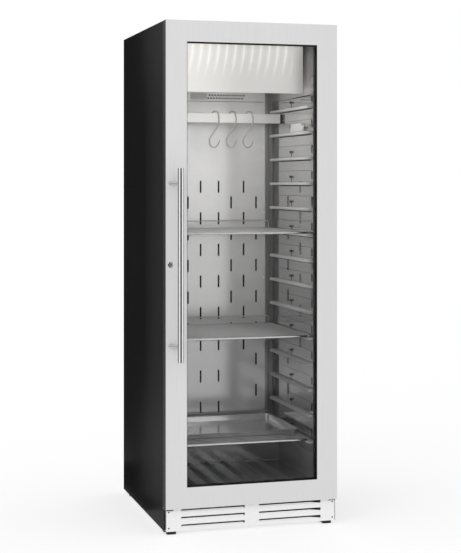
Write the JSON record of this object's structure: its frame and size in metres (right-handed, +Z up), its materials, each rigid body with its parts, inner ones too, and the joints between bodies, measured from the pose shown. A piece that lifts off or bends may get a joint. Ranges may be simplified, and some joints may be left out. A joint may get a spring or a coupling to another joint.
{
  "type": "dry aging cabinet",
  "caption": "Upright dry aging cabinet with a glazed steel door, bar handle, wire shelves, hanging bar with hooks, slotted air duct, drip tray and a ventilated base.",
  "frame": {"origin": "middle of the bounding box's footprint, on the floor that the feet stand on", "axes": "+X to the right of someone facing the door, +Y from the door to the rear panel, +Z up"},
  "size_m": [0.595, 0.74, 1.69],
  "materials": {
    "aluminium": "mill",
    "black_paint": "satin black powder coat",
    "black_plastic": "matt moulded",
    "chrome": "polished",
    "copper": "copper",
    "door_steel": "fine satin stainless steel",
    "foam": "blown polyurethane foam",
    "glass": "clear, slightly tinted",
    "lens": "clear diffuser",
    "liner_steel": "bright stainless sheet",
    "rubber": "soft seal",
    "white_plastic": "moulded",
    "wire_steel": "bright stainless wire",
    "zinc": "zinc plated"
  },
  "bodies": {
    "cabinet": {"air_duct_panel": "liner_steel", "air_sensor": "white_plastic", "air_unit_housing": "liner_steel", "base_pan": "zinc", "breaker_frame": "black_plastic", "compressor": "black_paint", "condensate_tray": "black_plastic", "condenser_coil": "copper", "condenser_fan_frame": "black_plastic", "control_module": "white_plastic", "cord_gland": "black_plastic", "corrugated_floor": "liner_steel", "door_sensor": "white_plastic", "evaporator_coil": "aluminium", "evaporator_fan_frame": "black_plastic", "hanging_bar": "wire_steel", "hinge_blank_cap": "black_plastic", "hinge_lower": "zinc", "hinge_upper": "zinc", "insulation": "foam", "kick_grille": "door_steel", "light_strip": "lens", "liner": "liner_steel", "lock_keeper": "zinc", "machine_cover": "zinc", "rear_panel": "zinc", "side_panel_left": "black_paint", "side_panel_right": "black_paint", "side_rack_left": "liner_steel", "side_rack_right": "liner_steel", "top_panel": "black_paint"},
    "door": {"door_skin": "door_steel", "door_core": "black_plastic", "glass_outer": "glass", "glass_spacer": "black_plastic", "glass_inner": "glass", "door_gasket": "rubber", "handle_bar": "chrome", "handle_post_upper": "chrome", "handle_post_lower": "chrome", "lock_barrel": "chrome", "hinge_bush_upper": "black_plastic", "hinge_bush_lower": "black_plastic"},
    "shelf_upper": {"shelf_upper": "wire_steel"},
    "shelf_middle": {"shelf_middle": "wire_steel"},
    "shelf_lower": {"shelf_lower": "wire_steel"},
    "drip_tray": {"drip_tray": "liner_steel"},
    "hook_1": {"meat_hook_1": "chrome"},
    "hook_2": {"meat_hook_2": "chrome"},
    "hook_3": {"meat_hook_3": "chrome"},
    "evaporator_fan": {"evaporator_fan_rotor": "black_plastic"},
    "condenser_fan": {"condenser_fan_rotor": "black_plastic"},
    "lock": {"lock_plug": "chrome", "lock_cam": "zinc"},
    "foot_front_left": {"foot_front_left": "black_plastic"},
    "foot_front_right": {"foot_front_right": "black_plastic"},
    "foot_rear_left": {"foot_rear_left": "black_plastic"},
    "foot_rear_right": {"foot_rear_right": "black_plastic"}
  },
  "joints": [
    {"name": "door_hinge", "type": "hinge", "parent": "cabinet", "child": "door", "pos_m": [0.2855, -0.291, 0.88865], "axis": [0, 0, 1], "range_deg": [0, 110]},
    {"name": "lock_turn", "type": "hinge", "parent": "door", "child": "lock", "pos_m": [-0.2805, -0.31, 0.888], "axis": [0, -1, 0], "range_deg": [0, 90]},
    {"name": "shelf_upper_slide", "type": "slide", "parent": "cabinet", "child": "shelf_upper", "axis": [0, -1, 0], "range_m": [0, 0.04]},
    {"name": "shelf_middle_slide", "type": "slide", "parent": "cabinet", "child": "shelf_middle", "axis": [0, -1, 0], "range_m": [0, 0.04]},
    {"name": "shelf_lower_slide", "type": "slide", "parent": "cabinet", "child": "shelf_lower", "axis": [0, -1, 0], "range_m": [0, 0.04]},
    {"name": "drip_tray_slide", "type": "slide", "parent": "shelf_lower", "child": "drip_tray", "axis": [0, -1, 0], "range_m": [0, 0.06]},
    {"name": "hook_1_slide", "type": "slide", "parent": "cabinet", "child": "hook_1", "axis": [1, 0, 0], "range_m": [-0.17, 0.014]},
    {"name": "hook_2_slide", "type": "slide", "parent": "cabinet", "child": "hook_2", "axis": [1, 0, 0], "range_m": [-0.014, 0.014]},
    {"name": "hook_3_slide", "type": "slide", "parent": "cabinet", "child": "hook_3", "axis": [1, 0, 0], "range_m": [-0.014, 0.08]},
    {"name": "evaporator_fan_spin", "type": "hinge", "parent": "cabinet", "child": "evaporator_fan", "pos_m": [-0.143, -0.1418, 1.508], "axis": [0, 0, 1], "continuous": true},
    {"name": "condenser_fan_spin", "type": "hinge", "parent": "cabinet", "child": "condenser_fan", "pos_m": [-0.165, 0.2775, 0.0763], "axis": [0, 0, 1], "continuous": true},
    {"name": "foot_front_left_turn", "type": "hinge", "parent": "cabinet", "child": "foot_front_left", "pos_m": [-0.2685, -0.238, 0.006], "axis": [0, 0, 1], "continuous": true},
    {"name": "foot_rear_left_turn", "type": "hinge", "parent": "cabinet", "child": "foot_rear_left", "pos_m": [-0.2685, 0.3, 0.006], "axis": [0, 0, 1], "continuous": true},
    {"name": "foot_front_right_turn", "type": "hinge", "parent": "cabinet", "child": "foot_front_right", "pos_m": [0.2685, -0.238, 0.006], "axis": [0, 0, 1], "continuous": true},
    {"name": "foot_rear_right_turn", "type": "hinge", "parent": "cabinet", "child": "foot_rear_right", "pos_m": [0.2685, 0.3, 0.006], "axis": [0, 0, 1], "continuous": true}
  ]
}
